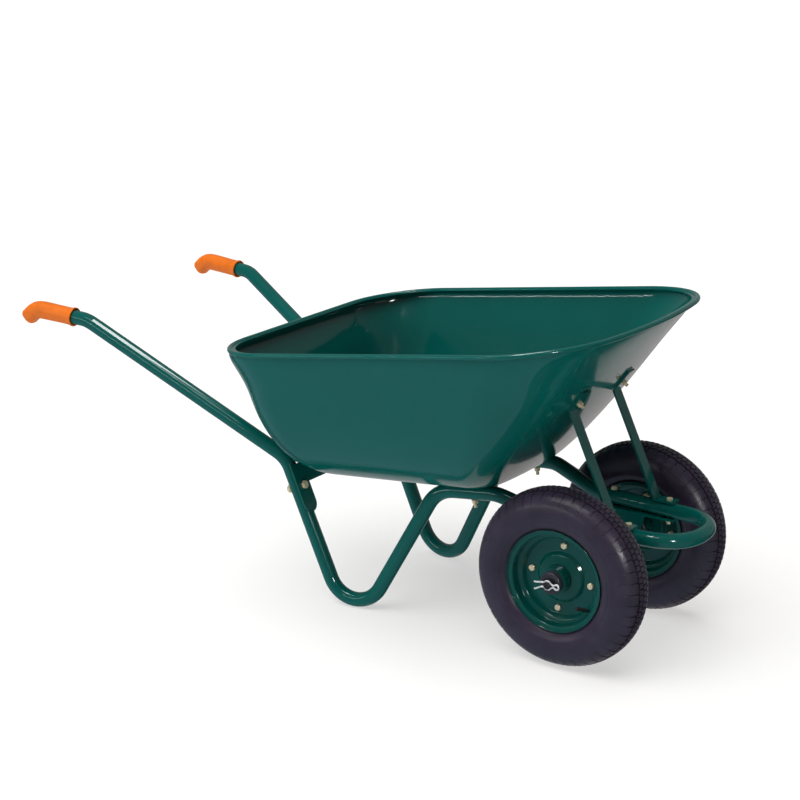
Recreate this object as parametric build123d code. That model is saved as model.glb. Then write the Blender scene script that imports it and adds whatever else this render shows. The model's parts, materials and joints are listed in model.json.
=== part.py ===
from build123d import *
import math
import os

# Two-wheeled builder's barrow: a deep steel tray on one bent tube, two pneumatic wheels on a fixed axle.
# +X is forward, +Y is the left side, +Z is up. Lengths are millimetres.
# Everything is drawn with the axle at x = 0 and the ground at z = 0, then moved along X by SHIFT_X
# when it is saved, which puts the origin under the middle of the overall length.

# ---- driving dimensions -------------------------------------------------------------------------
LOOP_FRONT = 251.0              # foremost point of the tube, ahead of the axle
GRIP_REAR = -1423.3             # rearmost point of the grips, behind the axle
SHIFT_X = -(LOOP_FRONT + GRIP_REAR) / 2

# wheels and axle
AXLE_Z = 200.0
AXLE_D = 20.0
AXLE_HALF = 258.4
NOSE_R = 8.2                    # turned-down ends of the axle
NOSE_START = 248.0
WHEEL_Y = 191.0                 # middle plane of each wheel
TYRE_R = 200.0
TYRE_HALF = 50.0
RIM_FLANGE_R = 114.0
RIM_SHEET = 2.0
BOLT_CIRCLE_R = 72.0
RIM_BOLTS = 4
HUB_R = 30.0
HUB_BORE_R = 23.0
HUB_HALF = 38.0
BUSH_INNER_FACE = 42.0          # ends of the bushes, from the wheel's middle plane
BUSH_OUTER_FACE = 53.0
BUSH_BORE_R = AXLE_D / 2 + 0.05
AXLE_FLOAT = 0.5                # play between a bush and what keeps it in place
CLIP_Y = 253.8
CLIP_WIRE_R = 2.0
CLIP_BOW_R = 9.5                # the clip's wire bows round the axle at this radius
GROOVE_R = CLIP_BOW_R - CLIP_WIRE_R - 0.3

# axle brackets
BRACKET_T = 4.0
BRACKET_WEB_Y = 116.5           # outer face of the hanging web
BRACKET_INNER_Y = 78.0          # inner edge of the flange under the arm
BRACKET_REAR = -60.0
BRACKET_FRONT = 125.0

# grips
GRIP_R = 21.5
GRIP_LENGTH = 94.0
COLLAR_LENGTH = 8.0
COLLAR_R = 23.0

# frame tube
TUBE_R = 17.0
TUBE_WALL = 2.0
ARM_Y = 97.0                    # front arms, at the axle bracket bolts
ARM_Z = 288.0                   # centre height of the front arms
ARM_TOP_Z = ARM_Z + TUBE_R
ARM_UNDER_Z = ARM_Z - TUBE_R
REAR_BOLT_X = -36.0
FRONT_BOLT_X = 106.0
LEG_TOP = Vector(-729, 201.5, 329)        # where the handle and the rear run of the leg would meet
LEG_FOOT = Vector(-545, 196, -72.3)       # where the two runs of a leg would meet

# cross brace on the front of both rear legs
BRACE_T = 4.0
BRACE_Z = 263.5                 # height of the brace bolts on the legs' centre lines
BRACE_SHARE = (LEG_TOP.Z - BRACE_Z) / (LEG_TOP.Z - LEG_FOOT.Z)
LEG_Y = LEG_TOP.Y + (LEG_FOOT.Y - LEG_TOP.Y) * BRACE_SHARE
BRACE_POINT = Vector(LEG_TOP.X + (LEG_FOOT.X - LEG_TOP.X) * BRACE_SHARE, 0, BRACE_Z)
LEG_FACE = Vector(LEG_TOP.Z - LEG_FOOT.Z, 0, LEG_FOOT.X - LEG_TOP.X).normalized()

# tray
SHEET = 1.6
RIM_TILT = 0.152                # rise of the rim per length
FLOOR_TILT = 0.105              # rise of the floor per length
RIM_LEVEL = 724.3               # rim height above the axle
FLOOR_LEVEL = 366.4             # height of the floor's plane above the axle
BEAD_R = 5.5
RIM_WIRE_R = 3.0
RIM_LEDGE = 12.0                # from the bead's centre in to the wall
TRAY_RIM = dict(rear=-839.0, front=113.0, half_rear=379.0, half_front=366.0,
                rear_r=168.0, front_r=211.0, nose_r=1057.0)
TRAY_FLOOR = dict(rear=-595.0, front=-198.0, half_rear=145.0, half_front=145.0,
                  rear_r=68.0, front_r=59.0, nose_r=1300.0)
WALL_POWER = dict(side=2.36, rear=3.1, front=1.09)
WALL_SECTIONS = 9

# struts from the arms up to the front of the tray
STRUT_W = 30.0
STRUT_T = 5.0
STRUT_Y = 100.0
STRUT_LEVEL = 0.44              # where the strut's bolt meets the wall, from 0 at the rim to 1 at the floor
GAP = 0.1                       # left between pieces that are bolted together

# bolts
M8_R = 4.0
M8_HOLE_R = 4.3
M10_R = 5.0
M10_HOLE_R = 5.3
M8_HEX, M8_HEAD, M8_NUT = 13.0, 5.3, 6.5        # across flats, head height and nut height
M10_HEX, M10_HEAD, M10_NUT = 17.0, 6.4, 8.0
M8_WASHER_R = 8.0
WASHER_T = 1.6
SUNK_HEAD_R = 8.0               # flat countersunk heads of the floor bolts, with a 90 degree cone
SUNK_DEPTH = SUNK_HEAD_R - M8_R
DIMPLE_SKIN = SHEET * math.sqrt(2)              # the pressed cone's sheet, measured across the bolt
FLOOR_BOLT_X = -258.5
BRACE_LEVEL = 0.9687
BRACE_BOLT_Y = 75.0

GREEN = Color(0.02, 0.25, 0.17)
ZINC = Color(0.75, 0.75, 0.72)
BLACK = Color(0.05, 0.05, 0.06)
ORANGE = Color(0.95, 0.45, 0.08)


def shifted(shape):
    return shape.moved(Pos(SHIFT_X, 0, 0))


def save(name, solids, color):
    """Write one node: one solid, or a group of separate identical ones."""
    group = solids if isinstance(solids, list) else [solids]
    write(name, [shifted(s) for shape in group for s in shape.solids()], color)


def write(name, solids, color):
    node = solids[0] if len(solids) == 1 else Compound(children=solids)
    node.color = color
    node.label = name
    export_step(node, f"parts/{name}.step")


def cylinder_along(start, end, radius):
    """A round bar between two points."""
    start, end = Vector(start), Vector(end)
    frame = Plane(origin=start, z_dir=end - start)
    return extrude(frame * Circle(radius), (end - start).length)


def cone_along(start, end, start_r, end_r):
    """A round taper between two points."""
    start, end = Vector(start), Vector(end)
    frame = Plane(origin=start, z_dir=end - start)
    taper = Cone(start_r, end_r, (end - start).length, align=(Align.CENTER, Align.CENTER, Align.MIN))
    return frame * taper


def hex_prism(origin, direction, across_flats, height):
    frame = Plane(origin=origin, z_dir=direction)
    return extrude(frame * RegularPolygon(across_flats / math.sqrt(3), 6), height)


def bolt(seat, direction, shank_r, length, across_flats, head_h):
    """Hexagon bolt: the head stands up from its seat along direction, the shank runs the other way."""
    seat, axis = Vector(seat), Vector(direction).normalized()
    head = hex_prism(seat, axis, across_flats, head_h)
    crown = extrude(Plane(origin=seat, z_dir=axis) * Circle(across_flats * 0.56), head_h)
    crown = chamfer(crown.edges().group_by(Axis((0, 0, 0), tuple(axis)))[-1], head_h * 0.22)
    shank = cylinder_along(seat + axis * 0.5, seat - axis * length, shank_r)
    return (head & crown) + shank


def nut(seat, direction, bore_r, across_flats, height):
    """Hexagon nut standing from its seat along direction."""
    seat, axis = Vector(seat), Vector(direction).normalized()
    body = hex_prism(seat, axis, across_flats, height)
    return body - cylinder_along(seat - axis, seat + axis * (height + 1), bore_r)


def m8_bolt(seat, direction, length):
    return bolt(seat, direction, M8_R, length, M8_HEX, M8_HEAD)


def m8_nut(seat, direction):
    return nut(seat, direction, M8_R, M8_HEX, M8_NUT)


def m8_washer(seat, direction):
    seat, axis = Vector(seat), Vector(direction).normalized()
    disc = cylinder_along(seat, seat + axis * WASHER_T, M8_WASHER_R)
    return disc - cylinder_along(seat - axis, seat + axis * (WASHER_T + 1), M8_HOLE_R)


def upright_bar(x, y, z0, z1, radius):
    return cylinder_along((x, y, z0), (x, y, z1), radius)


def mirrored(shape):
    return shape.mirror(Plane.XZ)


def pair(shape):
    """The same piece on the left and on the right."""
    return [shape, mirrored(shape)]


# ---- frame tube ---------------------------------------------------------------------------------
def frame_corners():
    """Corners of the tube's centre line on the left side, and the bend radius at each but the first."""
    under_floor = FLOOR_LEVEL - (TUBE_R + 0.05) * math.hypot(1, FLOOR_TILT)
    corners = [(-1374, 320, 611.5), (-1236, 309, 604), tuple(LEG_TOP), tuple(LEG_FOOT),
               (-349, 146, under_floor - 349 * FLOOR_TILT), (-203, 131, under_floor - 203 * FLOOR_TILT),
               (-74, 107.2, ARM_Z), (LOOP_FRONT - TUBE_R, 90, ARM_Z)]
    return corners, [70, 75, 70, 75, 90, 80, 87]


def make_frame_tube():
    """One tube bent into both handles, both legs, both arms and the loop ahead of the wheels."""
    corners, radii = frame_corners()
    right = [(x, -y, z) for x, y, z in reversed(corners)]
    path = FilletPolyline(*corners, *right, radius=radii + radii[::-1])
    start = Plane(origin=path @ 0, z_dir=path % 0)
    tube = sweep(start * (Circle(TUBE_R) - Circle(TUBE_R - TUBE_WALL)), path=path)
    for side in (1, -1):
        for x in (REAR_BOLT_X, FRONT_BOLT_X):
            tube -= upright_bar(x, side * tube_y(x), ARM_UNDER_Z - 9, ARM_TOP_Z + 9, M8_HOLE_R)
        tube -= floor_bar(side, -60, 30, M8_HOLE_R)
        tube -= floor_bar(side, -12, 6, SUNK_HEAD_R + 1.4)
        leg = BRACE_POINT + Vector(0, side * LEG_Y, 0)
        tube -= cylinder_along(leg - LEG_FACE * 30, leg + LEG_FACE * 30, M10_HOLE_R)
    return tube


def tube_y(x):
    """Distance of the tube from the middle plane along the arms and under the tray."""
    corners, _ = frame_corners()
    for (x0, y0, _), (x1, y1, _) in zip(corners[4:], corners[5:]):
        if x <= x1:
            return y0 + (y1 - y0) * (x - x0) / (x1 - x0)
    return ARM_Y


# ---- tray ---------------------------------------------------------------------------------------
def section(level, inset=0.0):
    """Outline of the tray at a level from 0 at the rim to 1 at the floor, on that level's own plane."""
    side, rear, front = ((1 - level) ** (1 / WALL_POWER[k]) for k in ("side", "rear", "front"))
    share = dict(rear=rear, front=front, half_rear=side, half_front=side,
                 rear_r=1 - level, front_r=1 - level, nose_r=1 - level)
    ledge = RIM_LEDGE * (1 - level) + inset
    size = {}
    for k in share:
        inward = 1 if k == "rear" else -1
        size[k] = TRAY_FLOOR[k] + (TRAY_RIM[k] - TRAY_FLOOR[k]) * share[k] + inward * ledge
    return outline(size, level), level_plane(level)


def tilt_at(level):
    return RIM_TILT + (FLOOR_TILT - RIM_TILT) * level


def level_plane(level):
    lean = math.atan(tilt_at(level))
    height = RIM_LEVEL + (FLOOR_LEVEL - RIM_LEVEL) * level
    return Plane(origin=(0, 0, height), x_dir=(math.cos(lean), 0, math.sin(lean)),
                 z_dir=(-math.sin(lean), 0, math.cos(lean)))


def outline(size, level):
    """Four-cornered outline with a bowed front edge and rounded corners."""
    slant = math.hypot(1, tilt_at(level))
    sag = size["nose_r"] - math.sqrt(size["nose_r"] ** 2 - size["half_front"] ** 2)
    nose, rear = size["front"] * slant, size["rear"] * slant
    front = nose - sag
    a, b = (rear, -size["half_rear"]), (front, -size["half_front"])
    c, d = (front, size["half_front"]), (rear, size["half_rear"])
    face = make_face([Line(a, b), ThreePointArc(b, (nose, 0), c), Line(c, d), Line(d, a)])
    at_rear, at_front = face.vertices().group_by(Axis.X)[0], face.vertices().group_by(Axis.X)[-1]
    face = fillet(at_front, size["front_r"])
    corners = [v for v in face.vertices() if any((Vector(v) - Vector(*p)).length < 0.1 for p in (a, d))]
    return fillet(corners, size["rear_r"])


def bowl(inset, lift):
    """Solid filling the tray from its floor to its rim."""
    steps = [i / (WALL_SECTIONS - 1) for i in range(WALL_SECTIONS)]
    levels = [1 - s ** WALL_POWER["side"] for s in steps]
    faces = []
    for level in levels:
        face, plane = section(level, inset)
        faces.append(plane.offset(lift * level) * face)
    return loft(faces)


def floor_point(side, above=0.0):
    """Point on the tray's floor over the tube, a distance above its underside."""
    height = FLOOR_LEVEL + FLOOR_TILT * FLOOR_BOLT_X
    return Vector(FLOOR_BOLT_X, side * tube_y(FLOOR_BOLT_X), height) + level_plane(1).z_dir * above


def floor_bar(side, low, high, radius):
    return cylinder_along(floor_point(side, low), floor_point(side, high), radius)


def frame_bar(frame, low, high, radius):
    """Round bar square to a plane, through its origin."""
    return cylinder_along(frame.origin + frame.z_dir * low, frame.origin + frame.z_dir * high, radius)


def dimple_cone(side, low, high, skin):
    """Taper of the pressed seat for a floor bolt between two heights; skin widens it to its outside."""
    rim_r = SUNK_HEAD_R + 0.3 - SHEET + skin
    return cone_along(floor_point(side, low), floor_point(side, high), rim_r + low, rim_r + high)


def make_tray():
    """Pressed bowl with a narrow flange round the top, its edge rolled into a bead; already shifted."""
    shell = bowl(0, 0) - bowl(SHEET, SHEET)
    for side in (1, -1):
        shell += dimple_cone(side, -3.5, 0.4, DIMPLE_SKIN)
        shell -= dimple_cone(side, -2.4, SHEET + 1, 0)
        shell -= floor_bar(side, -10, 10, M8_HOLE_R)
        shell -= frame_bar(wall_frame(STRUT_LEVEL, side * STRUT_Y), -10, 10, M8_HOLE_R)
        shell -= frame_bar(wall_frame(BRACE_LEVEL, side * BRACE_BOLT_Y, False), -10, 10, M8_HOLE_R)
    edge, plane = section(0, -RIM_LEDGE)
    mouth, _ = section(0, SHEET)
    flange = extrude(plane.offset(-SHEET / 2) * (edge - mouth), SHEET)
    bead = sweep_round(edge, plane, BEAD_R)
    bore = sweep_round(edge, plane, RIM_WIRE_R + 0.2)
    return shifted(shell) + shifted(flange) + shifted(bead) - shifted(bore)


def sweep_round(face, plane, radius):
    """Round section carried once round a closed outline."""
    path = (plane * face).face().outer_wire()
    start = Plane(origin=path @ 0, z_dir=path % 0)
    return sweep(start * Circle(radius), path=path)


def make_rim_wire():
    edge, plane = section(0, -RIM_LEDGE)
    return sweep_round(edge, plane, RIM_WIRE_R)


def wall_point(level, y, front):
    """Point on the outside of the front or the rear wall."""
    face, plane = section(level)
    line = plane * Line((2 * TRAY_RIM["rear"], y), (2 * TRAY_RIM["front"] + 500, y))
    ends = (plane * face).face().intersect(line).vertices().sort_by(Axis.X)
    return Vector(*ends[-1 if front else 0])


def wall_frame(level, y, front=True):
    """Plane lying on the outside of a wall: x_dir runs to the left, z_dir points out of the tray."""
    here = wall_point(level, y, front)
    sideways = wall_point(level, y + 1, front) - wall_point(level, y - 1, front)
    upward = wall_point(level - 0.005, y, front) - wall_point(level + 0.005, y, front)
    out = sideways.cross(upward)
    return Plane(origin=here, x_dir=sideways, z_dir=out if (out.X > 0) == front else -out)


# ---- grips --------------------------------------------------------------------------------------
def make_grip():
    """Moulded sleeve with a flared collar in front and a closed end that hooks down behind."""
    corners, _ = frame_corners()
    rear, front = Vector(*corners[0]), Vector(*corners[1])
    forward = (front - rear).normalized()
    mouth = rear + forward * GRIP_LENGTH
    sleeve = cylinder_along(rear, mouth, GRIP_R)
    collar = cylinder_along(mouth, mouth + forward * COLLAR_LENGTH, COLLAR_R)
    end = Plane(origin=rear, x_dir=(0, 1, 0), z_dir=-forward)
    # each stage of the hook: distance back, drop, lean in degrees, radius
    stages = [(0, 0, 0, GRIP_R), (12, 3, 12, GRIP_R - 0.5), (23, 11, 28, GRIP_R - 1),
              (32, 20, 40, GRIP_R - 2), (39, 27, 46, GRIP_R - 8.5)]
    hook = loft([end * Pos(0, drop, back) * Rot(X=-lean) * Circle(r) for back, drop, lean, r in stages])
    bore = cylinder_along(rear, mouth + forward * 2 * COLLAR_LENGTH, TUBE_R)
    return sleeve + collar + hook - bore


# ---- wheels -------------------------------------------------------------------------------------
# Each wheel is drawn about the Y axis with its outer side towards +Y, then placed or mirrored.
def spin(face):
    return revolve(face, Axis.Y)


def ring(inner, outer, y0, y1):
    return spin(Pos((inner + outer) / 2, (y0 + y1) / 2) * Rectangle(outer - inner, y1 - y0))


def make_tyre():
    """Carcass with a rounded crown, full shoulders and two beads, open towards the rim."""
    half = [(104.8, 31.8), (108.5, 32.4), (112.5, 33.6), (116.3, 37.5), (122, 42.5), (134, 47.8),
            (150, TYRE_HALF), (167, 47.6), (180, 41.5), (190, 32), (197, 17), (TYRE_R, 0)]
    inside = [(103.4, 20), (108, 27), (118, 34.5), (132, 40), (150, 42), (165, 39.6), (176, 34),
              (185, 24), (190, 12), (191.5, 0)]
    outer = Spline([(r, y) for r, y in half] + [(r, -y) for r, y in half[-2::-1]])
    inner = Spline([(r, y) for r, y in inside] + [(r, -y) for r, y in inside[-2::-1]])
    heel, toe = Line(outer @ 0, inner @ 0), Line(outer @ 1, inner @ 1)
    return spin(make_face([outer, heel, inner, toe]))


def make_inner_tube():
    """Rubber tube filling the tyre, with room where the valve base is bonded in."""
    outline_r, outline_y = 41.0, 38.5
    middle = 148.0
    outer = Pos(middle, 0) * Ellipse(outline_r, outline_y)
    inner = Pos(middle, 0) * Ellipse(outline_r - 2, outline_y - 2)
    return spin(outer - inner)


def rim_profile():
    """Middle line of one pressed half, as (radius, distance out from the joint)."""
    flange = [(RIM_FLANGE_R - 1, 40), (RIM_FLANGE_R - 1.5, 36.5)]
    seat_and_step = [(103.5, 34.5), (101.2, 16), (92, 13), (86, 1.1)]
    ring_and_centre = [(57, 1.1), (50, 8), (HUB_R + 1.2, 13)]
    return flange + seat_and_step + ring_and_centre


def make_rim_half():
    """Half of the split rim: flange, bead seat, step, flat bolting ring and raised centre."""
    line = FilletPolyline(*rim_profile(), radius=(1.2, 3, 4, 5, 4, 4, 5))
    disc = spin(make_face(offset(line, RIM_SHEET / 2 - 0.02, side=Side.BOTH)))
    for k in range(RIM_BOLTS):
        disc -= cylinder_along(rim_bolt_point(k, -50), rim_bolt_point(k, 50), M8_HOLE_R)
    return disc


def rim_bolt_point(k, y):
    angle = math.radians(360 / RIM_BOLTS * k - 4)
    return (BOLT_CIRCLE_R * math.cos(angle), y, BOLT_CIRCLE_R * math.sin(angle))


def make_hub():
    return ring(HUB_BORE_R, HUB_R, -HUB_HALF, HUB_HALF)


def make_bush(sign, face):
    """Plastic bearing pushed into one end of the hub, with a wider head that ends at face."""
    body = ring(BUSH_BORE_R, HUB_BORE_R, sign * 12, sign * HUB_HALF)
    head = ring(BUSH_BORE_R, HUB_BORE_R + 1.5, sign * HUB_HALF, sign * face)
    rim = head.edges().filter_by(GeomType.CIRCLE).sort_by(lambda e: sign * e.center().Y + e.radius)[-1]
    return body + chamfer(rim, 1.2)


def valve_ends():
    """Root and tip of the valve, low down at the front of the wheel."""
    angle = math.radians(-38)
    c, s = math.cos(angle), math.sin(angle)
    return Vector(101 * c, 3, 101 * s), Vector(80 * c, 34, 80 * s)


def make_valve():
    root, tip = valve_ends()
    stem = cylinder_along(root, tip, 4.0)
    thread = cylinder_along(tip, tip + (tip - root).normalized() * 6, 2.6)
    return stem + thread


def make_valve_cap():
    root, tip = valve_ends()
    axis = (tip - root).normalized()
    cap = cylinder_along(tip + axis * 0.2, tip + axis * 10, 4.2)
    cap = chamfer(cap.edges().filter_by(GeomType.CIRCLE).sort_by(Axis.Y)[-1], 0.9)
    return cap - cylinder_along(tip, tip + axis * 6.5, 2.6)


def wheel_parts():
    root, tip = valve_ends()
    valve_way = cylinder_along(root, tip, 4.2)
    other_half = make_rim_half().mirror(Plane.XZ)
    seat = RIM_SHEET + 0.1
    return {
        "tyre": (make_tyre(), BLACK),
        "inner_tube": (make_inner_tube() - cylinder_along(root, tip, 4.0), BLACK),
        "rim_outer": (make_rim_half() - valve_way, GREEN),
        "rim_inner": (other_half, GREEN),
        "rim_bolts": ([m8_bolt(rim_bolt_point(k, seat), (0, 1, 0), 14) for k in range(RIM_BOLTS)], ZINC),
        "rim_nuts": ([m8_nut(rim_bolt_point(k, -seat), (0, -1, 0)) for k in range(RIM_BOLTS)], ZINC),
        "hub": (make_hub(), GREEN),
        "bush_outer": (make_bush(1, BUSH_OUTER_FACE), BLACK),
        "bush_inner": (make_bush(-1, BUSH_INNER_FACE), BLACK),
        "valve": (make_valve(), BLACK),
        "valve_cap": (make_valve_cap(), BLACK),
    }


def save_wheel(side):
    sign = 1 if side == "left" else -1
    for part, (shape, color) in wheel_parts().items():
        solids = shape if isinstance(shape, list) else [shape]
        placed = [Pos(0, WHEEL_Y, AXLE_Z) * s for s in solids]
        save(f"{part}_{side}", placed if sign > 0 else [mirrored(s) for s in placed], color)


# ---- axle ---------------------------------------------------------------------------------------
def make_axle():
    """Round bar with both ends turned down and grooved for the clips."""
    bar = cylinder_along((0, -NOSE_START, AXLE_Z), (0, NOSE_START, AXLE_Z), AXLE_D / 2)
    bar += cylinder_along((0, -AXLE_HALF, AXLE_Z), (0, AXLE_HALF, AXLE_Z), NOSE_R)
    bar = chamfer(bar.edges().filter_by(GeomType.CIRCLE).group_by(Axis.Y)[0], 1.0)
    bar = chamfer(bar.edges().filter_by(GeomType.CIRCLE).group_by(Axis.Y)[-1], 1.0)
    width = CLIP_WIRE_R + 0.2
    for y in (-CLIP_Y, CLIP_Y):
        bar -= ring(GROOVE_R, AXLE_D, y - width, y + width).moved(Pos(0, 0, AXLE_Z))
    return bar


def make_spacer():
    """Sleeve that holds the wheel off the bracket."""
    far_end = WHEEL_Y - BUSH_INNER_FACE - AXLE_FLOAT
    return ring(BUSH_BORE_R, 14, BRACKET_WEB_Y, far_end).moved(Pos(0, 0, AXLE_Z))


def make_axle_washer():
    seat = WHEEL_Y + BUSH_OUTER_FACE + AXLE_FLOAT
    return ring(BUSH_BORE_R, 15, seat, seat + 2.5).moved(Pos(0, 0, AXLE_Z))


def make_clip():
    """Hairpin clip: an eye in front, two bowed legs that grip the groove, and two tails behind."""
    eye = [(27.2, 0), (26, 3.6), (22, 5.4), (18, 4.1), (14.5, 2.4), (11.6, 3.2)]
    bow = [(CLIP_BOW_R * math.cos(math.radians(a)), CLIP_BOW_R * math.sin(math.radians(a)))
           for a in (38, 64, 90, 116, 142)]
    upper = eye + bow + [(-12, 4.9), (-20, 3.4), (-32, 2)]
    lower = [(x, -y) for x, y in eye[1:] + bow] + [(-12, -5.4), (-20, -8.6), (-31, -14)]
    path = Spline([Vector(x, y) for x, y in upper[::-1] + lower])
    start = Plane(origin=path @ 0, z_dir=path % 0)
    wire = sweep(start * Circle(CLIP_WIRE_R), path=path)
    return wire.rotate(Axis.X, 90).moved(Pos(0, CLIP_Y, AXLE_Z))


# ---- axle brackets ------------------------------------------------------------------------------
def make_bracket():
    """Angle bracket: a flange bolted up under the arm and a tapered web carrying the axle."""
    web = Plane(origin=(0, BRACKET_WEB_Y, 0), x_dir=(1, 0, 0), z_dir=(0, -1, 0))
    top, strip = ARM_UNDER_Z, ARM_UNDER_Z - 8
    edge = make_hull([Line((BRACKET_REAR, z), (BRACKET_FRONT, z)) for z in (top, strip)])
    taper = make_hull([Line((-45, top - 4), (42, top - 4)), Edge.make_circle(24).moved(Pos(0, AXLE_Z))])
    plate = extrude(web * (make_face(edge) + make_face(taper)).face(), BRACKET_T)
    length, depth = BRACKET_FRONT - BRACKET_REAR, BRACKET_WEB_Y - BRACKET_INNER_Y
    middle = Pos((BRACKET_FRONT + BRACKET_REAR) / 2, BRACKET_INNER_Y + depth / 2, top - BRACKET_T / 2)
    bracket = plate + middle * Box(length, depth, BRACKET_T)
    bracket -= cylinder_along((0, 90, AXLE_Z), (0, 130, AXLE_Z), AXLE_D / 2 + 0.05)
    for x in (REAR_BOLT_X, FRONT_BOLT_X):
        bracket -= upright_bar(x, tube_y(x), top - 10, top + 10, M8_HOLE_R)
    return bracket


# ---- struts and cross brace ---------------------------------------------------------------------
def flat_bar(start, end, sideways):
    """Length of strut bar between two points on its middle line."""
    frame = Plane(origin=start, x_dir=sideways, z_dir=end - start)
    return extrude(frame * Rectangle(STRUT_W, STRUT_T), (end - start).length)


def bend_round(point, sideways):
    half = sideways.normalized() * (STRUT_W / 2)
    return cylinder_along(point - half, point + half, STRUT_T / 2)


def strut_tab(length_up, length_down):
    """Ends of the strut's upper tab on its middle line, and the wall plane it lies on."""
    wall = wall_frame(STRUT_LEVEL, STRUT_Y)
    middle = wall.origin + wall.z_dir * (STRUT_T / 2 + 3 * GAP)
    return wall, middle + wall.y_dir * length_up, middle - wall.y_dir * length_down


def make_strut():
    """Flat bar: a foot on the arm, a long leaning part and a tab up the front of the tray."""
    wall, top, knee = strut_tab(34, 24)
    side = Vector(0, 1, 0)
    foot_z = ARM_TOP_Z + GAP + STRUT_T / 2
    toe, heel = Vector(122, STRUT_Y, foot_z), Vector(73, STRUT_Y, foot_z)
    bar = flat_bar(toe, heel, side) + flat_bar(heel, knee, side) + flat_bar(knee, top, wall.x_dir)
    bar += bend_round(heel, side) + bend_round(knee, wall.x_dir)
    bar -= upright_bar(FRONT_BOLT_X, tube_y(FRONT_BOLT_X), ARM_TOP_Z - 5, ARM_TOP_Z + 15, M8_HOLE_R)
    return bar - frame_bar(wall, -10, 20, M8_HOLE_R)


def make_brace():
    """Cross plate on the front of both legs, its top edge folded forward under the tray."""
    plate = Plane(origin=BRACE_POINT + LEG_FACE * (TUBE_R + GAP), x_dir=(0, 1, 0), z_dir=LEG_FACE)
    shape = Pos(0, 22) * Rectangle(2 * LEG_Y, 37)
    for y in (-LEG_Y, LEG_Y):
        shape += Pos(y, 5) * Rectangle(45, 95) + Pos(y, -42.5) * Circle(22.5)
    brace = extrude(plate * shape, BRACE_T)
    under = wall_frame(BRACE_LEVEL, 0, False)
    lip = Pos(0, -4, 6 * GAP + BRACE_T / 2) * Box(2 * (LEG_Y - 35), 36, BRACE_T)
    brace += under * lip
    for side in (1, -1):
        leg = BRACE_POINT + Vector(0, side * LEG_Y, 0)
        brace -= cylinder_along(leg, leg + LEG_FACE * 40, M10_HOLE_R)
        brace -= frame_bar(wall_frame(BRACE_LEVEL, side * BRACE_BOLT_Y, False), -5, 15, M8_HOLE_R)
    return brace


# ---- fasteners ----------------------------------------------------------------------------------
def save_strut_fasteners():
    """Bolts from inside the tray through the struts' tabs."""
    wall = wall_frame(STRUT_LEVEL, STRUT_Y)
    inside = wall.origin - wall.z_dir * (SHEET + 3 * GAP)
    outside = wall.origin + wall.z_dir * (STRUT_T + 4 * GAP)
    save("strut_tray_bolts", pair(m8_bolt(inside, -wall.z_dir, 20)), ZINC)
    save("strut_tray_nuts", pair(m8_nut(outside, wall.z_dir)), ZINC)


def save_arm_fasteners():
    """Bolts down through the arms and the axle brackets; the front ones hold the struts' feet too."""
    up, down = (0, 0, 1), (0, 0, -1)
    under = ARM_UNDER_Z - BRACKET_T - GAP
    x, y = FRONT_BOLT_X, tube_y(FRONT_BOLT_X)
    save("arm_front_bolts", pair(m8_bolt((x, y, ARM_TOP_Z + STRUT_T + 2 * GAP), up, 56)), ZINC)
    save("arm_front_nuts", pair(m8_nut((x, y, under), down)), ZINC)
    x, y = REAR_BOLT_X, tube_y(REAR_BOLT_X)
    save("arm_rear_washers", pair(m8_washer((x, y, ARM_TOP_Z + GAP), up)), ZINC)
    save("arm_rear_bolts", pair(m8_bolt((x, y, ARM_TOP_Z + WASHER_T + 2 * GAP), up, 54)), ZINC)
    save("arm_rear_nuts", pair(m8_nut((x, y, under), down)), ZINC)


def floor_bolt():
    """Bolt with a flat sunk head, level with the inside of the tray."""
    top = SHEET - GAP
    head = cone_along(floor_point(1, top), floor_point(1, top - SUNK_DEPTH), SUNK_HEAD_R, M8_R)
    return head + floor_bar(1, -52.3, top - SUNK_DEPTH / 2, M8_R)


def save_floor_fasteners():
    """Bolts down through the tray's floor and the tube."""
    up = level_plane(1).z_dir
    below = 2 * TUBE_R + 3 * GAP
    save("tray_floor_bolts", pair(floor_bolt()), ZINC)
    save("tray_floor_washers", pair(m8_washer(floor_point(1, -below), -up)), ZINC)
    save("tray_floor_nuts", pair(m8_nut(floor_point(1, -below - WASHER_T - GAP), -up)), ZINC)


def save_brace_fasteners():
    """Bolts from the cross brace into the legs and up into the tray."""
    leg = BRACE_POINT + Vector(0, LEG_Y, 0)
    front, back = leg + LEG_FACE * (TUBE_R + BRACE_T + 2 * GAP), leg - LEG_FACE * (TUBE_R + GAP)
    save("brace_leg_bolts", pair(bolt(front, LEG_FACE, M10_R, 50, M10_HEX, M10_HEAD)), ZINC)
    save("brace_leg_nuts", pair(nut(back, -LEG_FACE, M10_R, M10_HEX, M10_NUT)), ZINC)
    rear = wall_frame(BRACE_LEVEL, BRACE_BOLT_Y, False)
    seat = rear.origin - rear.z_dir * (SHEET + 12 * GAP)
    beneath = rear.origin + rear.z_dir * (BRACE_T + 8 * GAP)
    save("brace_tray_bolts", pair(m8_bolt(seat, -rear.z_dir, 20)), ZINC)
    save("brace_tray_nuts", pair(m8_nut(beneath, rear.z_dir)), ZINC)


def save_sides(name, shape, color):
    save(f"{name}_left", shape, color)
    save(f"{name}_right", mirrored(shape), color)


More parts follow.
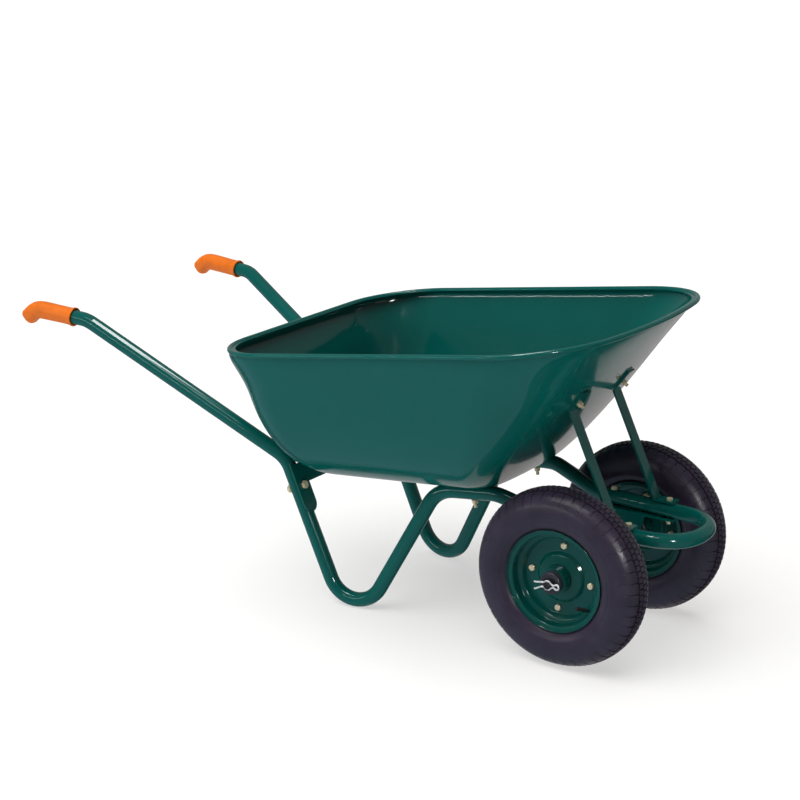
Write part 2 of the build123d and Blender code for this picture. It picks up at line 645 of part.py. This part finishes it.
os.makedirs("parts", exist_ok=True)
write("tray", make_tray().solids(), GREEN)
save("rim_wire", make_rim_wire(), ZINC)
save("frame_tube", make_frame_tube(), GREEN)
save_sides("grip", make_grip(), ORANGE)
save_sides("strut", make_strut(), GREEN)
save("rear_cross_brace", make_brace(), GREEN)
save_sides("axle_bracket", make_bracket(), GREEN)
save("axle", make_axle(), ZINC)
save_sides("axle_spacer", make_spacer(), ZINC)
save_sides("axle_washer", make_axle_washer(), ZINC)
save_sides("axle_clip", make_clip(), ZINC)
save_strut_fasteners()
save_arm_fasteners()
save_floor_fasteners()
save_brace_fasteners()
for wheel_side in ("left", "right"):
    save_wheel(wheel_side)
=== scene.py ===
import bpy
import json
import math
from mathutils import Matrix, Vector


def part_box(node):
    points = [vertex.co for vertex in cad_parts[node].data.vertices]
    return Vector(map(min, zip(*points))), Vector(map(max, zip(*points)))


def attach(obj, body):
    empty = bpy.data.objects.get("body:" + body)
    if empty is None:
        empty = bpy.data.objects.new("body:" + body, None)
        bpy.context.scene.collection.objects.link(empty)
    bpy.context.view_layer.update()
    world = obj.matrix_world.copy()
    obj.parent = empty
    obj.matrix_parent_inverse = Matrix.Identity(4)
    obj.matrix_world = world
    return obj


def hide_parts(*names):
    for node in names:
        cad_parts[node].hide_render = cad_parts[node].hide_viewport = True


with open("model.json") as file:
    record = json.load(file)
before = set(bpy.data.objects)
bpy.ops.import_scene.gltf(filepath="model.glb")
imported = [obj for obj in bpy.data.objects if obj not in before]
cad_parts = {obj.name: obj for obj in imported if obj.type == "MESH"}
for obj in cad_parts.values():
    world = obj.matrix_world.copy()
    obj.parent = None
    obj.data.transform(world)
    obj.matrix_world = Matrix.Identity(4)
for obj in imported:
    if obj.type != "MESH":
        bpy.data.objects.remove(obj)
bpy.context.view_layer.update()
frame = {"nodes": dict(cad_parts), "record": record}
NODES = frame["nodes"]
SIDES = ("left", "right")
WHEEL_CENTRE = {s: [(a + b) / 2 for a, b in zip(*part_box(f"tyre_{s}"))] for s in SIDES}


# ---- materials ----------------------------------------------------------------------------------
# Nearly all of a noise lies between these values.
NOISE_LOW, NOISE_HIGH = 0.3, 0.7
NOISE_ROUGHNESS = 0.55


class Shader:
    """A node material built from small steps."""

    def __init__(self, name, color, roughness, **settings):
        self.mat = bpy.data.materials.new(name)
        self.mat.use_nodes = True
        self.nodes = self.mat.node_tree.nodes
        self.links = self.mat.node_tree.links
        self.bsdf = self.nodes["Principled BSDF"]
        self.bsdf.inputs["Base Color"].default_value = (*color, 1)
        self.bsdf.inputs["Roughness"].default_value = roughness
        self.height = None
        for socket, value in settings.items():
            self.bsdf.inputs[socket.replace("_", " ")].default_value = value
        self.where = self.nodes.new("ShaderNodeTexCoord").outputs["Object"]
        self.mat.diffuse_color = (*color, 1)

    def node(self, kind, **inputs):
        made = self.nodes.new(kind)
        for socket, value in inputs.items():
            target = made.inputs[socket.replace("_", " ")]
            if isinstance(value, bpy.types.NodeSocket):
                self.links.new(value, target)
            else:
                target.default_value = value
        return made

    def noise(self, scale, detail=4.0):
        made = self.node("ShaderNodeTexNoise", Vector=self.where, Scale=scale, Detail=detail,
                         Roughness=NOISE_ROUGHNESS)
        return made.outputs["Fac"]

    def span(self, value, low, high):
        """Stretch the middle of a noise to run from low to high."""
        return self.node("ShaderNodeMapRange", Value=value, From_Min=NOISE_LOW, From_Max=NOISE_HIGH,
                         To_Min=low, To_Max=high).outputs["Result"]

    def tint(self, value, low, high):
        """Colour that runs between two colours as value goes from 0 to 1."""
        ramp = self.nodes.new("ShaderNodeValToRGB")
        ramp.color_ramp.elements[0].color = (*low, 1)
        ramp.color_ramp.elements[1].color = (*high, 1)
        self.links.new(value, ramp.inputs["Fac"])
        self.links.new(ramp.outputs["Color"], self.bsdf.inputs["Base Color"])

    def rough(self, value, low, high):
        """Roughness that runs between two values with a noise."""
        self.links.new(self.span(value, low, high), self.bsdf.inputs["Roughness"])

    def bump(self, value, depth, strength):
        """Relief of a depth in metres, laid over any bump made before."""
        made = self.node("ShaderNodeBump", Strength=strength, Distance=depth, Height=value)
        if self.height is not None:
            self.links.new(self.height, made.inputs["Normal"])
        self.height = made.outputs["Normal"]
        self.links.new(self.height, self.bsdf.inputs["Normal"])


def scaled(color, factor):
    return tuple(c * factor for c in color)


def green_paint(name="green_paint", color=(0.0008, 0.092, 0.080)):
    s = Shader(name, color, 0.12, Coat_Weight=0.5, Coat_Roughness=0.02, Specular_IOR_Level=0.3)
    s.tint(s.span(s.noise(3.0), 0.0, 1.0), scaled(color, 0.94), scaled(color, 1.07))
    s.rough(s.noise(40.0), 0.10, 0.18)
    s.bump(s.noise(260.0, 2.0), 0.00008, 0.35)
    s.bump(s.noise(9.0, 2.0), 0.0004, 0.2)
    return s.mat


def shaded_wheel_paint():
    """The wheels wear a darker copy of the same enamel: painted shade for their dark rim wells."""
    return green_paint("shaded_wheel_paint", (0.0006, 0.058, 0.049))


def tyre_rubber():
    color = (0.0230, 0.0145, 0.0330)
    s = Shader("tyre_rubber", color, 0.34, Specular_IOR_Level=0.5, Sheen_Weight=0.08, Sheen_Roughness=0.5)
    s.tint(s.span(s.noise(22.0, 6.0), 0.0, 1.0), scaled(color, 0.75), scaled(color, 1.35))
    s.rough(s.noise(60.0, 5.0), 0.28, 0.44)
    s.bump(s.noise(700.0, 2.0), 0.0002, 0.4)
    return s.mat


def black_rubber():
    color = (0.012, 0.012, 0.014)
    s = Shader("black_rubber", color, 0.55)
    s.rough(s.noise(80.0), 0.48, 0.66)
    s.bump(s.noise(500.0), 0.0001, 0.4)
    return s.mat


def bush_plastic():
    color = (0.030, 0.027, 0.040)
    s = Shader("bush_plastic", color, 0.42)
    s.tint(s.span(s.noise(90.0), 0.0, 1.0), scaled(color, 0.8), scaled(color, 1.2))
    s.rough(s.noise(120.0), 0.36, 0.5)
    s.bump(s.noise(900.0), 0.00008, 0.5)
    return s.mat


def grip_plastic():
    color = (0.76, 0.158, 0.003)
    s = Shader("grip_plastic", color, 0.38, Coat_Weight=0.08, Coat_Roughness=0.2, Specular_IOR_Level=0.35,
               Subsurface_Weight=0.06, Subsurface_Scale=0.01)
    s.tint(s.span(s.noise(30.0), 0.0, 1.0), scaled(color, 0.9), scaled(color, 1.08))
    s.rough(s.noise(150.0), 0.32, 0.46)
    s.bump(s.noise(800.0), 0.00012, 0.5)
    return s.mat


def zinc_plate():
    color = (0.86, 0.74, 0.50)
    s = Shader("zinc_plate", color, 0.3, Metallic=0.35)
    s.tint(s.span(s.noise(120.0, 6.0), 0.0, 1.0), scaled(color, 0.85), scaled(color, 1.1))
    s.rough(s.noise(300.0), 0.22, 0.42)
    s.bump(s.noise(900.0), 0.00005, 0.5)
    return s.mat


def bright_wire():
    color = (0.86, 0.87, 0.88)
    s = Shader("bright_wire", color, 0.25, Metallic=0.5)
    s.rough(s.noise(300.0), 0.2, 0.34)
    s.bump(s.noise(900.0), 0.00004, 0.5)
    return s.mat


def dark_steel():
    color = (0.020, 0.019, 0.024)
    s = Shader("dark_steel", color, 0.34, Metallic=0.35)
    s.tint(s.span(s.noise(90.0, 6.0), 0.0, 1.0), scaled(color, 0.7), scaled(color, 1.6))
    s.rough(s.noise(240.0), 0.28, 0.46)
    s.bump(s.noise(700.0), 0.00005, 0.5)
    return s.mat


MAKERS = dict(green_paint=green_paint, tyre=tyre_rubber, rubber=black_rubber, bush_plastic=bush_plastic,
              grip_plastic=grip_plastic, zinc=zinc_plate, steel=dark_steel)
MATERIALS = {slot: make() for slot, make in MAKERS.items()}
# Nodes that look different from the rest of their slot, by their names without the side.
OWN_LOOKS = {"axle_clip": bright_wire()}
# Rims and hubs take the darker copy of the paint, which is painted shade.
OWN_LOOKS.update(dict.fromkeys(("rim_outer", "rim_inner", "hub"), shaded_wheel_paint()))


def paint_nodes():
    """Every CAD node gets the material of its record slot, unless it has a look of its own."""
    for entry in frame["record"]["subparts"]:
        node = entry["node"]
        stem = node.removesuffix("_left").removesuffix("_right")
        mesh = NODES[node].data
        mesh.materials.clear()
        mesh.materials.append(OWN_LOOKS.get(stem, MATERIALS[entry["material_slot"]]))


# ---- mesh helpers -------------------------------------------------------------------------------
MM = 0.001
# Edges that turn by more than this are drawn sharp.
TREAD_SHARP_DEG = 32
GRIP_SHARP_DEG = 50


def add_mesh(name, points, faces, material_slot, sharp_deg):
    mesh = bpy.data.meshes.new(name)
    mesh.from_pydata(points, [], faces)
    mesh.update()
    for polygon in mesh.polygons:
        polygon.use_smooth = True
    mesh.set_sharp_from_angle(angle=math.radians(sharp_deg))
    mesh.materials.append(MATERIALS[material_slot])
    obj = bpy.data.objects.new(name, mesh)
    bpy.context.collection.objects.link(obj)
    return obj


def rings_to_mesh(rings, closed_rings=True):
    """Points and faces of a skin over rings of equal length; the last ring may join the first."""
    count, around = len(rings), len(rings[0])
    points = [p for ring in rings for p in ring]
    last = count if closed_rings else count - 1
    faces = []
    for i in range(last):
        j = (i + 1) % count
        for k in range(around):
            m = (k + 1) % around
            faces.append((i * around + k, i * around + m, j * around + m, j * around + k))
    return points, faces


def smooth_path(knots, steps):
    """Points along a curve through the knots, in two dimensions."""
    padded = [knots[0], *knots, knots[-1]]
    path = []
    for a, b, c, d in zip(padded, padded[1:], padded[2:], padded[3:]):
        for i in range(steps):
            t = i / steps
            path.append(tuple(0.5 * (2 * q + (r - p) * t + (2 * p - 5 * q + 4 * r - s) * t * t
                                     + (3 * q - p - 3 * r + s) * t ** 3) for p, q, r, s in zip(a, b, c, d)))
    return path + [knots[-1]]


# ---- tyres --------------------------------------------------------------------------------------
# Half section from the crown to the bead, as (distance from the wheel's middle plane, radius), in mm.
TYRE_SECTION = [(0, 199.7), (9, 199.2), (17, 196.6), (26, 192.6), (32, 189.4), (41.2, 179.6), (47.3, 166.6),
                (49.6, 150), (47.4, 134), (42.2, 122.4), (37.4, 116.6), (33.4, 112.4), (32.2, 108.5),
                (31.6, 105)]
TYRE_INSIDE = [(20, 103.6), (27, 108), (34.5, 118), (40, 132), (42, 150), (39.6, 165), (34, 176), (24, 185),
               (12, 190), (0, 191.4)]
SECTION_STEPS = 24
ON_A_POINT = 1e-9                       # mm, for a mark that falls on a point of the curve
# The tread, with places across it in mm from the crown along the section.
TREAD_PITCHES = 48
TREAD_DEPTH = 3.6
CROSS_CUT_DEPTH = 0.8 * TREAD_DEPTH
CENTRE_GROOVE = (6.6, 8.6)
SHOULDER_GROOVE = (19.5, 21.8)
GROOVE_EDGE = 0.5
BLOCK_END = 46.0
NOTCH_END = 60.0
NOTCH_EDGE = 0.6
NOTCH_DEPTHS = (2.4, 0.5)               # at the shoulder groove, and from the end of the blocks on
# Cuts across the rows of blocks, as shares of a pitch.
CROSS_CUTS = {"centre": ((0.03, 0.10), (0.53, 0.60)), "middle": ((0.27, 0.34), (0.77, 0.84)),
              "shoulder": ((0.42, 0.50),)}
CUT_EDGE = 0.018
# The tread zigzags: between these shares of a pitch it lies further out from the crown, elsewhere nearer.
ZIGZAG_SPANS = ((0.185, 0.46), (0.685, 0.93))
ZIGZAG_STEPS = {0.185, 0.685, 0.93}     # changes that aren't inside a cut
ZIGZAG_SHIFT = 1.0
ZIGZAG_ZONE = (3.4, 26)
# Other places across the tread that need a row of points, then an even spacing down the sidewall.
TREAD_MARKS = {0.0, 3.4, 12.0, 15.6, 27.0, 32.0, 37.0, 41.0, 51.0, 56.0}
SIDEWALL_START, SIDEWALL_STEP = 64.0, 3.0
# Plain ribs on the sidewall: place, a quarter of the width at the base, and height, in mm.
SIDEWALL_RIBS = ((86.0, 1.0, 1.1), (97.5, 1.4, 0.8))


def tread_steps():
    """Angles across one pitch, as shares of it, with a pair at every block edge."""
    steps = set(ZIGZAG_STEPS)
    for cuts in CROSS_CUTS.values():
        for low, high in cuts:
            steps |= {low - CUT_EDGE, low, high, high + CUT_EDGE}
    return sorted(steps)


def within(value, span):
    return span[0] <= value <= span[1]


def cut_depth(row, u, depth):
    """The depth where the row of blocks is cut across at u, a share of a pitch, and nothing elsewhere."""
    return depth if any(within(u, cut) for cut in CROSS_CUTS[row]) else 0


def tread_depth(s, u):
    """Depth of the tread at a distance from the crown along the section and a share of a pitch."""
    if within(s, CENTRE_GROOVE) or within(s, SHOULDER_GROOVE):
        return TREAD_DEPTH
    if s < CENTRE_GROOVE[0]:
        return cut_depth("centre", u, CROSS_CUT_DEPTH)
    if s < SHOULDER_GROOVE[0]:
        return cut_depth("middle", u, CROSS_CUT_DEPTH)
    if s >= NOTCH_END:
        return 0
    deep, shallow = NOTCH_DEPTHS
    run_out = min(1.0, (s - SHOULDER_GROOVE[1]) / (BLOCK_END - SHOULDER_GROOVE[1]))
    return cut_depth("shoulder", u, deep - (deep - shallow) * run_out)


def section_marks(length):
    """Where the half section has a row of points, in mm from the crown along it."""
    marks = TREAD_MARKS | {BLOCK_END, BLOCK_END + NOTCH_EDGE, NOTCH_END, NOTCH_END + NOTCH_EDGE}
    for low, high in (CENTRE_GROOVE, SHOULDER_GROOVE):
        marks |= {low - GROOVE_EDGE, low, high, high + GROOVE_EDGE}
    spaces = int((length - SIDEWALL_START) / SIDEWALL_STEP)
    marks |= {SIDEWALL_START + SIDEWALL_STEP * i for i in range(spaces + 1)}
    return sorted(marks | {length})


def section_samples():
    """Points and outward normals down the half section, each with its distance from the crown."""
    path = smooth_path(TYRE_SECTION, SECTION_STEPS)
    lengths = [0.0]
    for (a, b), (c, d) in zip(path, path[1:]):
        lengths.append(lengths[-1] + math.hypot(c - a, d - b))
    rows = []
    for s in section_marks(lengths[-1]):
        k = max(i for i, v in enumerate(lengths[:-1]) if v <= s + ON_A_POINT)
        (a, b), (c, d) = path[k], path[k + 1]
        t = (s - lengths[k]) / (lengths[k + 1] - lengths[k])
        run = math.hypot(c - a, d - b)
        rows.append((s, a + (c - a) * t, b + (d - b) * t, (b - d) / run, (c - a) / run))
    return rows


def rib_height(s):
    """How far the ribs stand out at a distance from the crown along the section."""
    return sum(h * max(0.0, 1 - abs(s - at) / (2 * quarter)) for at, quarter, h in SIDEWALL_RIBS)


def tyre_section(half, u):
    """The closed section, as (distance from the middle plane, radius) in mm, at a share of a pitch."""
    zigzag = ZIGZAG_SHIFT if any(low < u < high for low, high in ZIGZAG_SPANS) else -ZIGZAG_SHIFT
    section = []
    for flip in (1, -1):
        column = []
        for s, y, r, ny, nr in half:
            depth = tread_depth(s, u) - rib_height(s)
            shift = zigzag if ZIGZAG_ZONE[0] < s < ZIGZAG_ZONE[1] else 0
            column.append((flip * (y - ny * depth + shift), r - nr * depth))
        section += column[::-1] if flip > 0 else column[1:]
    return section + [(-y, r) for y, r in TYRE_INSIDE] + [(y, r) for y, r in TYRE_INSIDE[-2::-1]]


def make_tyre(side):
    """Tyre with its tread cut in, round the wheel's own centre."""
    cx, cy, cz = WHEEL_CENTRE[side]
    half = section_samples()
    sections = [(u, tyre_section(half, u)) for u in tread_steps()]
    rings = []
    for pitch in range(TREAD_PITCHES):
        for u, section in sections:
            angle = 2 * math.pi * (pitch + u) / TREAD_PITCHES
            rings.append([(cx + r * MM * math.cos(angle), cy + y * MM, cz + r * MM * math.sin(angle))
                          for y, r in section])
    points, faces = rings_to_mesh(rings)
    tyre = add_mesh(f"tyre_tread_{side}", points, [f[::-1] for f in faces], "tyre", TREAD_SHARP_DEG)
    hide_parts(f"tyre_{side}")
    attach(tyre, f"wheel_{side}")


# ---- grips --------------------------------------------------------------------------------------
# The straight end of the left handle, in metres: X from the axle, Y from the middle and Z from the ground.
HANDLE_END = Vector((-1.374, 0.320, 0.6115))
HANDLE_BEND = Vector((-1.236, 0.309, 0.604))
BORE_R = 17.05
BORE_STOPS = (-0.5, 30, 60, 90)         # mm in front of the handle's end, from the bore's closed end
# Stations down a grip, in mm: distance behind the handle's end, drop, lean in degrees, half width,
# half height, and squareness of the section (2 is round).
GRIP_STATIONS = [(-98, 0, 0, 17.1, 17.1, 2), (-99.5, 0, 0, 18.6, 18.6, 2), (-101.2, 0, 0, 19.4, 19.4, 2),
                 (-101.9, 0, 0, 21.0, 21.0, 2), (-101.3, 0, 0, 22.4, 22.4, 2), (-99.5, 0, 0, 22.9, 22.9, 2),
                 (-96.5, 0, 0, 22.8, 22.8, 2), (-94.5, 0, 0, 21.9, 21.9, 2), (-92, 0, 0, 21.1, 21.1, 2),
                 (-86, 0, 0, 20.8, 20.8, 2), (-70, 0, 0, 20.7, 20.7, 2), (-50, 0, 0, 20.9, 20.9, 2),
                 (-28, 0, 0, 21.3, 21.2, 2), (-10, 0.2, 0, 21.4, 21.3, 2), (2, 1.0, 4, 21.2, 21.0, 2.1),
                 (7, 1.8, 8, 21.0, 20.8, 2.2), (9, 2.2, 10, 20.2, 20.0, 2.3), (11, 2.8, 12, 20.2, 20.0, 2.4),
                 (13, 3.6, 14, 20.9, 20.6, 2.5), (19, 7.5, 22, 20.8, 20.6, 2.7),
                 (25, 12.5, 30, 20.5, 20.2, 2.8), (30.5, 18, 38, 19.9, 19.6, 2.8),
                 (33.5, 21, 42, 19.9, 19.7, 2.7), (35.5, 23, 44, 20.0, 19.8, 2.6),
                 (37.2, 24.7, 45, 19.2, 19.0, 2.5), (38.2, 25.7, 46, 17.2, 17.0, 2.4),
                 (38.0, 25.5, 46, 15.0, 14.8, 2.3), (37.2, 24.7, 46, 11.5, 11.3, 2.2),
                 (37.0, 24.5, 46, 6.0, 5.9, 2)]
GRIP_AROUND = 56


def grip_ring(origin, back, up, across, station):
    """One ring of the sleeve's skin at a station."""
    behind, drop, lean, half_width, half_height, square = station
    tilt = math.radians(lean)
    centre = origin + (back * behind - up * drop) * MM
    tall = up * math.cos(tilt) + back * math.sin(tilt)
    ring = []
    for k in range(GRIP_AROUND):
        angle = 2 * math.pi * k / GRIP_AROUND
        c, s = math.cos(angle), math.sin(angle)
        reach = (abs(c) ** square + abs(s) ** square) ** (-1 / square)
        ring.append(tuple(centre + (across * half_width * c + tall * half_height * s) * reach * MM))
    return ring


def close_end(points, faces, ring, flipped):
    """Close a ring with a fan of faces round its middle."""
    first = ring * GRIP_AROUND
    flat = points[first:first + GRIP_AROUND]
    points.append(tuple(sum((Vector(p) for p in flat), Vector()) / GRIP_AROUND))
    hub = len(points) - 1
    for k in range(GRIP_AROUND):
        pair = (first + k, first + (k + 1) % GRIP_AROUND)
        faces.append((hub, *pair[::-1]) if flipped else (hub, *pair))


def make_grip(side):
    """Moulded sleeve: a rolled collar, a slight swell for the palm and a squarer end that hooks down."""
    flip = 1 if side == "left" else -1
    axle_x = WHEEL_CENTRE[side][0]
    rear, front = (Vector((axle_x + p.x, flip * p.y, p.z)) for p in (HANDLE_END, HANDLE_BEND))
    back = (rear - front).normalized()
    across = back.cross(Vector((0, 0, 1))).normalized()
    up = across.cross(back)
    bore = [(-depth, 0, 0, BORE_R, BORE_R, 2) for depth in BORE_STOPS]
    rings = [grip_ring(rear, back, up, across, station) for station in bore + GRIP_STATIONS]
    points, faces = rings_to_mesh(rings, closed_rings=False)
    close_end(points, faces, 0, flipped=True)
    close_end(points, faces, len(rings) - 1, flipped=False)
    grip = add_mesh(f"grip_sleeve_{side}", points, faces, "grip_plastic", GRIP_SHARP_DEG)
    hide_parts(f"grip_{side}")
    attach(grip, "frame")


# ---- studio -------------------------------------------------------------------------------------
STUDIO_ROUGHNESS = 0.9
FLOOR_HALF = 30.0
WALL_RADIUS, WALL_HEIGHT, WALL_PANELS = 28.0, 40.0, 64


def studio_piece(name, points, faces, base, glow_color, glow):
    """A matt, glowing piece of the studio that gloss doesn't show."""
    mesh = bpy.data.meshes.new(name)
    mesh.from_pydata(points, [], faces)
    obj = bpy.data.objects.new(name, mesh)
    bpy.context.collection.objects.link(obj)
    mat = bpy.data.materials.new(f"{name}_white")
    mat.use_nodes = True
    shader = mat.node_tree.nodes["Principled BSDF"].inputs
    shader["Base Color"].default_value = (base, base, base, 1)
    shader["Roughness"].default_value = STUDIO_ROUGHNESS
    shader["Specular IOR Level"].default_value = 0.0
    shader["Emission Color"].default_value = (*glow_color, 1)
    shader["Emission Strength"].default_value = glow
    mesh.materials.append(mat)
    obj.visible_glossy = False
    return obj


def add_floor():
    """A floor with a glow that lightens the shadows on it."""
    half = FLOOR_HALF
    corners = [(-half, -half, 0), (half, -half, 0), (half, half, 0), (-half, half, 0)]
    floor = studio_piece("floor", corners, [(0, 1, 2, 3)], base=0.45, glow_color=(1.0, 0.99, 0.98), glow=0.56)


def add_backdrop():
    """A plain white wall that stands on the floor all round, seen by the camera and by nothing else."""
    count = WALL_PANELS
    turns = [2 * math.pi * k / count for k in range(count)]
    points = [(WALL_RADIUS * math.cos(turn), WALL_RADIUS * math.sin(turn), z)
              for z in (0.0, WALL_HEIGHT) for turn in turns]
    faces = [(k, (k + 1) % count, count + (k + 1) % count, count + k) for k in range(count)]
    wall = studio_piece("backdrop", points, faces, base=0.0, glow_color=(1, 1, 1), glow=1.0)
    wall.visible_diffuse = False
    wall.visible_shadow = False
    wall.visible_transmission = False


def place_light(lamp, name, mirrored, lit):
    """Link a lamp; mirrored says whether gloss shows it, lit whether it lights matt surfaces."""
    obj = bpy.data.objects.new(name, lamp)
    bpy.context.collection.objects.link(obj)
    obj.visible_glossy = mirrored
    obj.visible_diffuse = lit
    return obj


def strip_light(name, place, target, size, power):
    """A rectangular lamp that gloss shows and that doesn't light matt surfaces."""
    lamp = bpy.data.lights.new(name, "AREA")
    lamp.shape = "RECTANGLE"
    lamp.size, lamp.size_y = size
    lamp.energy = power
    obj = place_light(lamp, name, mirrored=True, lit=False)
    obj.location = place
    obj.rotation_euler = (Vector(target) - Vector(place)).to_track_quat("-Z", "Y").to_euler()


def sun_light(name, direction, spread_deg, strength, color):
    """Soft light from far away that gloss doesn't show."""
    lamp = bpy.data.lights.new(name, "SUN")
    lamp.angle = math.radians(spread_deg)
    lamp.energy = strength
    lamp.color = color
    obj = place_light(lamp, name, mirrored=False, lit=True)
    obj.rotation_euler = Vector(direction).to_track_quat("-Z", "Y").to_euler()


# What gloss shows of the room below the horizon, by compass angle in degrees from +X.
LOW_BANDS = [(-180, (0.20, 0.29, 0.36)), (2, (0.20, 0.29, 0.36)), (8, (0.30, 0.38, 0.42)),
             (13, (0.012, 0.016, 0.018)), (52, (0.012, 0.016, 0.018)), (58, (0.07, 0.12, 0.13)),
             (65, (0.06, 0.11, 0.12)), (70, (0.012, 0.016, 0.018)), (86, (0.014, 0.018, 0.020)),
             (94, (0.40, 0.365, 0.36)), (112, (0.46, 0.43, 0.43)), (145, (0.42, 0.43, 0.45)),
             (152, (0.05, 0.07, 0.08)), (168, (0.06, 0.08, 0.10)), (176, (0.20, 0.29, 0.36))]
# The same above the horizon, by the Y part of the direction, from the camera's side to the far side.
HIGH_BANDS = [(-1.0, (0.10, 0.11, 0.11)), (-0.4, (0.11, 0.12, 0.12)), (0.3, (0.16, 0.17, 0.17)),
              (1.0, (0.24, 0.25, 0.25))]
# The two blend into each other between these heights, as the Z part of the direction.
BLEND_LOW, BLEND_HIGH = -0.30, 0.05


def band_ramp(nodes, links, value, bands, low, high):
    """Colours laid along a value that runs from low to high."""
    share = nodes.new("ShaderNodeMapRange")
    share.inputs["From Min"].default_value = low
    share.inputs["From Max"].default_value = high
    links.new(value, share.inputs["Value"])
    ramp = nodes.new("ShaderNodeValToRGB")
    ramp.color_ramp.elements.remove(ramp.color_ramp.elements[1])
    for i, (place, color) in enumerate(bands):
        at = (place - low) / (high - low)
        band = ramp.color_ramp.elements[0] if i == 0 else ramp.color_ramp.elements.new(at)
        band.position = at
        band.color = (*color, 1)
    links.new(share.outputs["Result"], ramp.inputs["Fac"])
    return ramp.outputs["Color"]


def add_world():
    """A dim room for gloss to show, which doesn't light matt surfaces."""
    world = bpy.data.worlds.new("studio")
    bpy.context.scene.world = world
    world.use_nodes = True
    nodes, links = world.node_tree.nodes, world.node_tree.links
    split = nodes.new("ShaderNodeSeparateXYZ")
    links.new(nodes.new("ShaderNodeTexCoord").outputs["Generated"], split.inputs["Vector"])
    turn = nodes.new("ShaderNodeMath")
    turn.operation = "ARCTAN2"
    links.new(split.outputs["Y"], turn.inputs[0])
    links.new(split.outputs["X"], turn.inputs[1])
    low_bands = [(math.radians(angle), color) for angle, color in LOW_BANDS]
    below = band_ramp(nodes, links, turn.outputs[0], low_bands, -math.pi, math.pi)
    above = band_ramp(nodes, links, split.outputs["Y"], HIGH_BANDS, -1.0, 1.0)
    height = nodes.new("ShaderNodeMapRange")
    height.inputs["From Min"].default_value = BLEND_LOW
    height.inputs["From Max"].default_value = BLEND_HIGH
    links.new(split.outputs["Z"], height.inputs["Value"])
    mix = nodes.new("ShaderNodeMix")
    mix.data_type = "RGBA"
    links.new(height.outputs["Result"], mix.inputs["Factor"])
    links.new(below, mix.inputs["A"])
    links.new(above, mix.inputs["B"])
    links.new(mix.outputs["Result"], nodes["Background"].inputs["Color"])
    world.cycles_visibility.diffuse = False


def add_studio():
    add_world()
    sun_light("overhead", direction=(0.16, 0.20, -1.0), spread_deg=70, strength=3.7, color=(1.0, 0.995, 0.98))
    sun_light("fill", direction=(0.75, 1.0, -0.2), spread_deg=50, strength=1.1, color=(0.94, 0.98, 1.0))
    strip_light("top_strip", place=(0.0, -0.6, 3.6), target=(0, 0, 0), size=(0.5, 2.4), power=60)
    strip_light("window", place=(3.4, -2.4, 1.7), target=(0.586, -0.3, 0.2), size=(0.5, 0.5), power=40)
    strip_light("low_strip", place=(-1.1, -2.6, 1.1), target=(-0.4, -0.2, 0.5), size=(2.2, 0.06), power=8)
    strip_light("high_strip", place=(-0.1, -1.6, 3.0), target=(0, 0, 0.4), size=(2.2, 0.08), power=12)
    bpy.context.scene.view_settings.view_transform = "Standard"


CAMERA_PLACE = (WHEEL_CENTRE["right"][0] + 1.871, -3.606, 1.768)
CAMERA_AZIMUTH = math.radians(33.87)
CAMERA_ELEVATION = math.radians(16.88)
CAMERA_ROLL = math.radians(0.46)
CAMERA_LENS = 87.6
CAMERA_SENSOR = 36.0


def add_camera():
    data = bpy.data.cameras.new("camera")
    data.lens = CAMERA_LENS
    data.sensor_width = CAMERA_SENSOR
    cam = bpy.data.objects.new("camera", data)
    bpy.context.collection.objects.link(cam)
    a, e = CAMERA_AZIMUTH, CAMERA_ELEVATION
    forward = Vector((-math.sin(a) * math.cos(e), math.cos(a) * math.cos(e), -math.sin(e)))
    level = Vector((math.cos(a), math.sin(a), 0))
    upright = level.cross(forward)
    right = level * math.cos(CAMERA_ROLL) + upright * math.sin(CAMERA_ROLL)
    up = upright * math.cos(CAMERA_ROLL) - level * math.sin(CAMERA_ROLL)
    basis = Matrix((right, up, -forward)).transposed().to_4x4()
    cam.matrix_world = Matrix.Translation(CAMERA_PLACE) @ basis
    bpy.context.scene.camera = cam


paint_nodes()
for wheel_side in SIDES:
    make_tyre(wheel_side)
    make_grip(wheel_side)
add_floor()
add_backdrop()
add_studio()
add_camera()
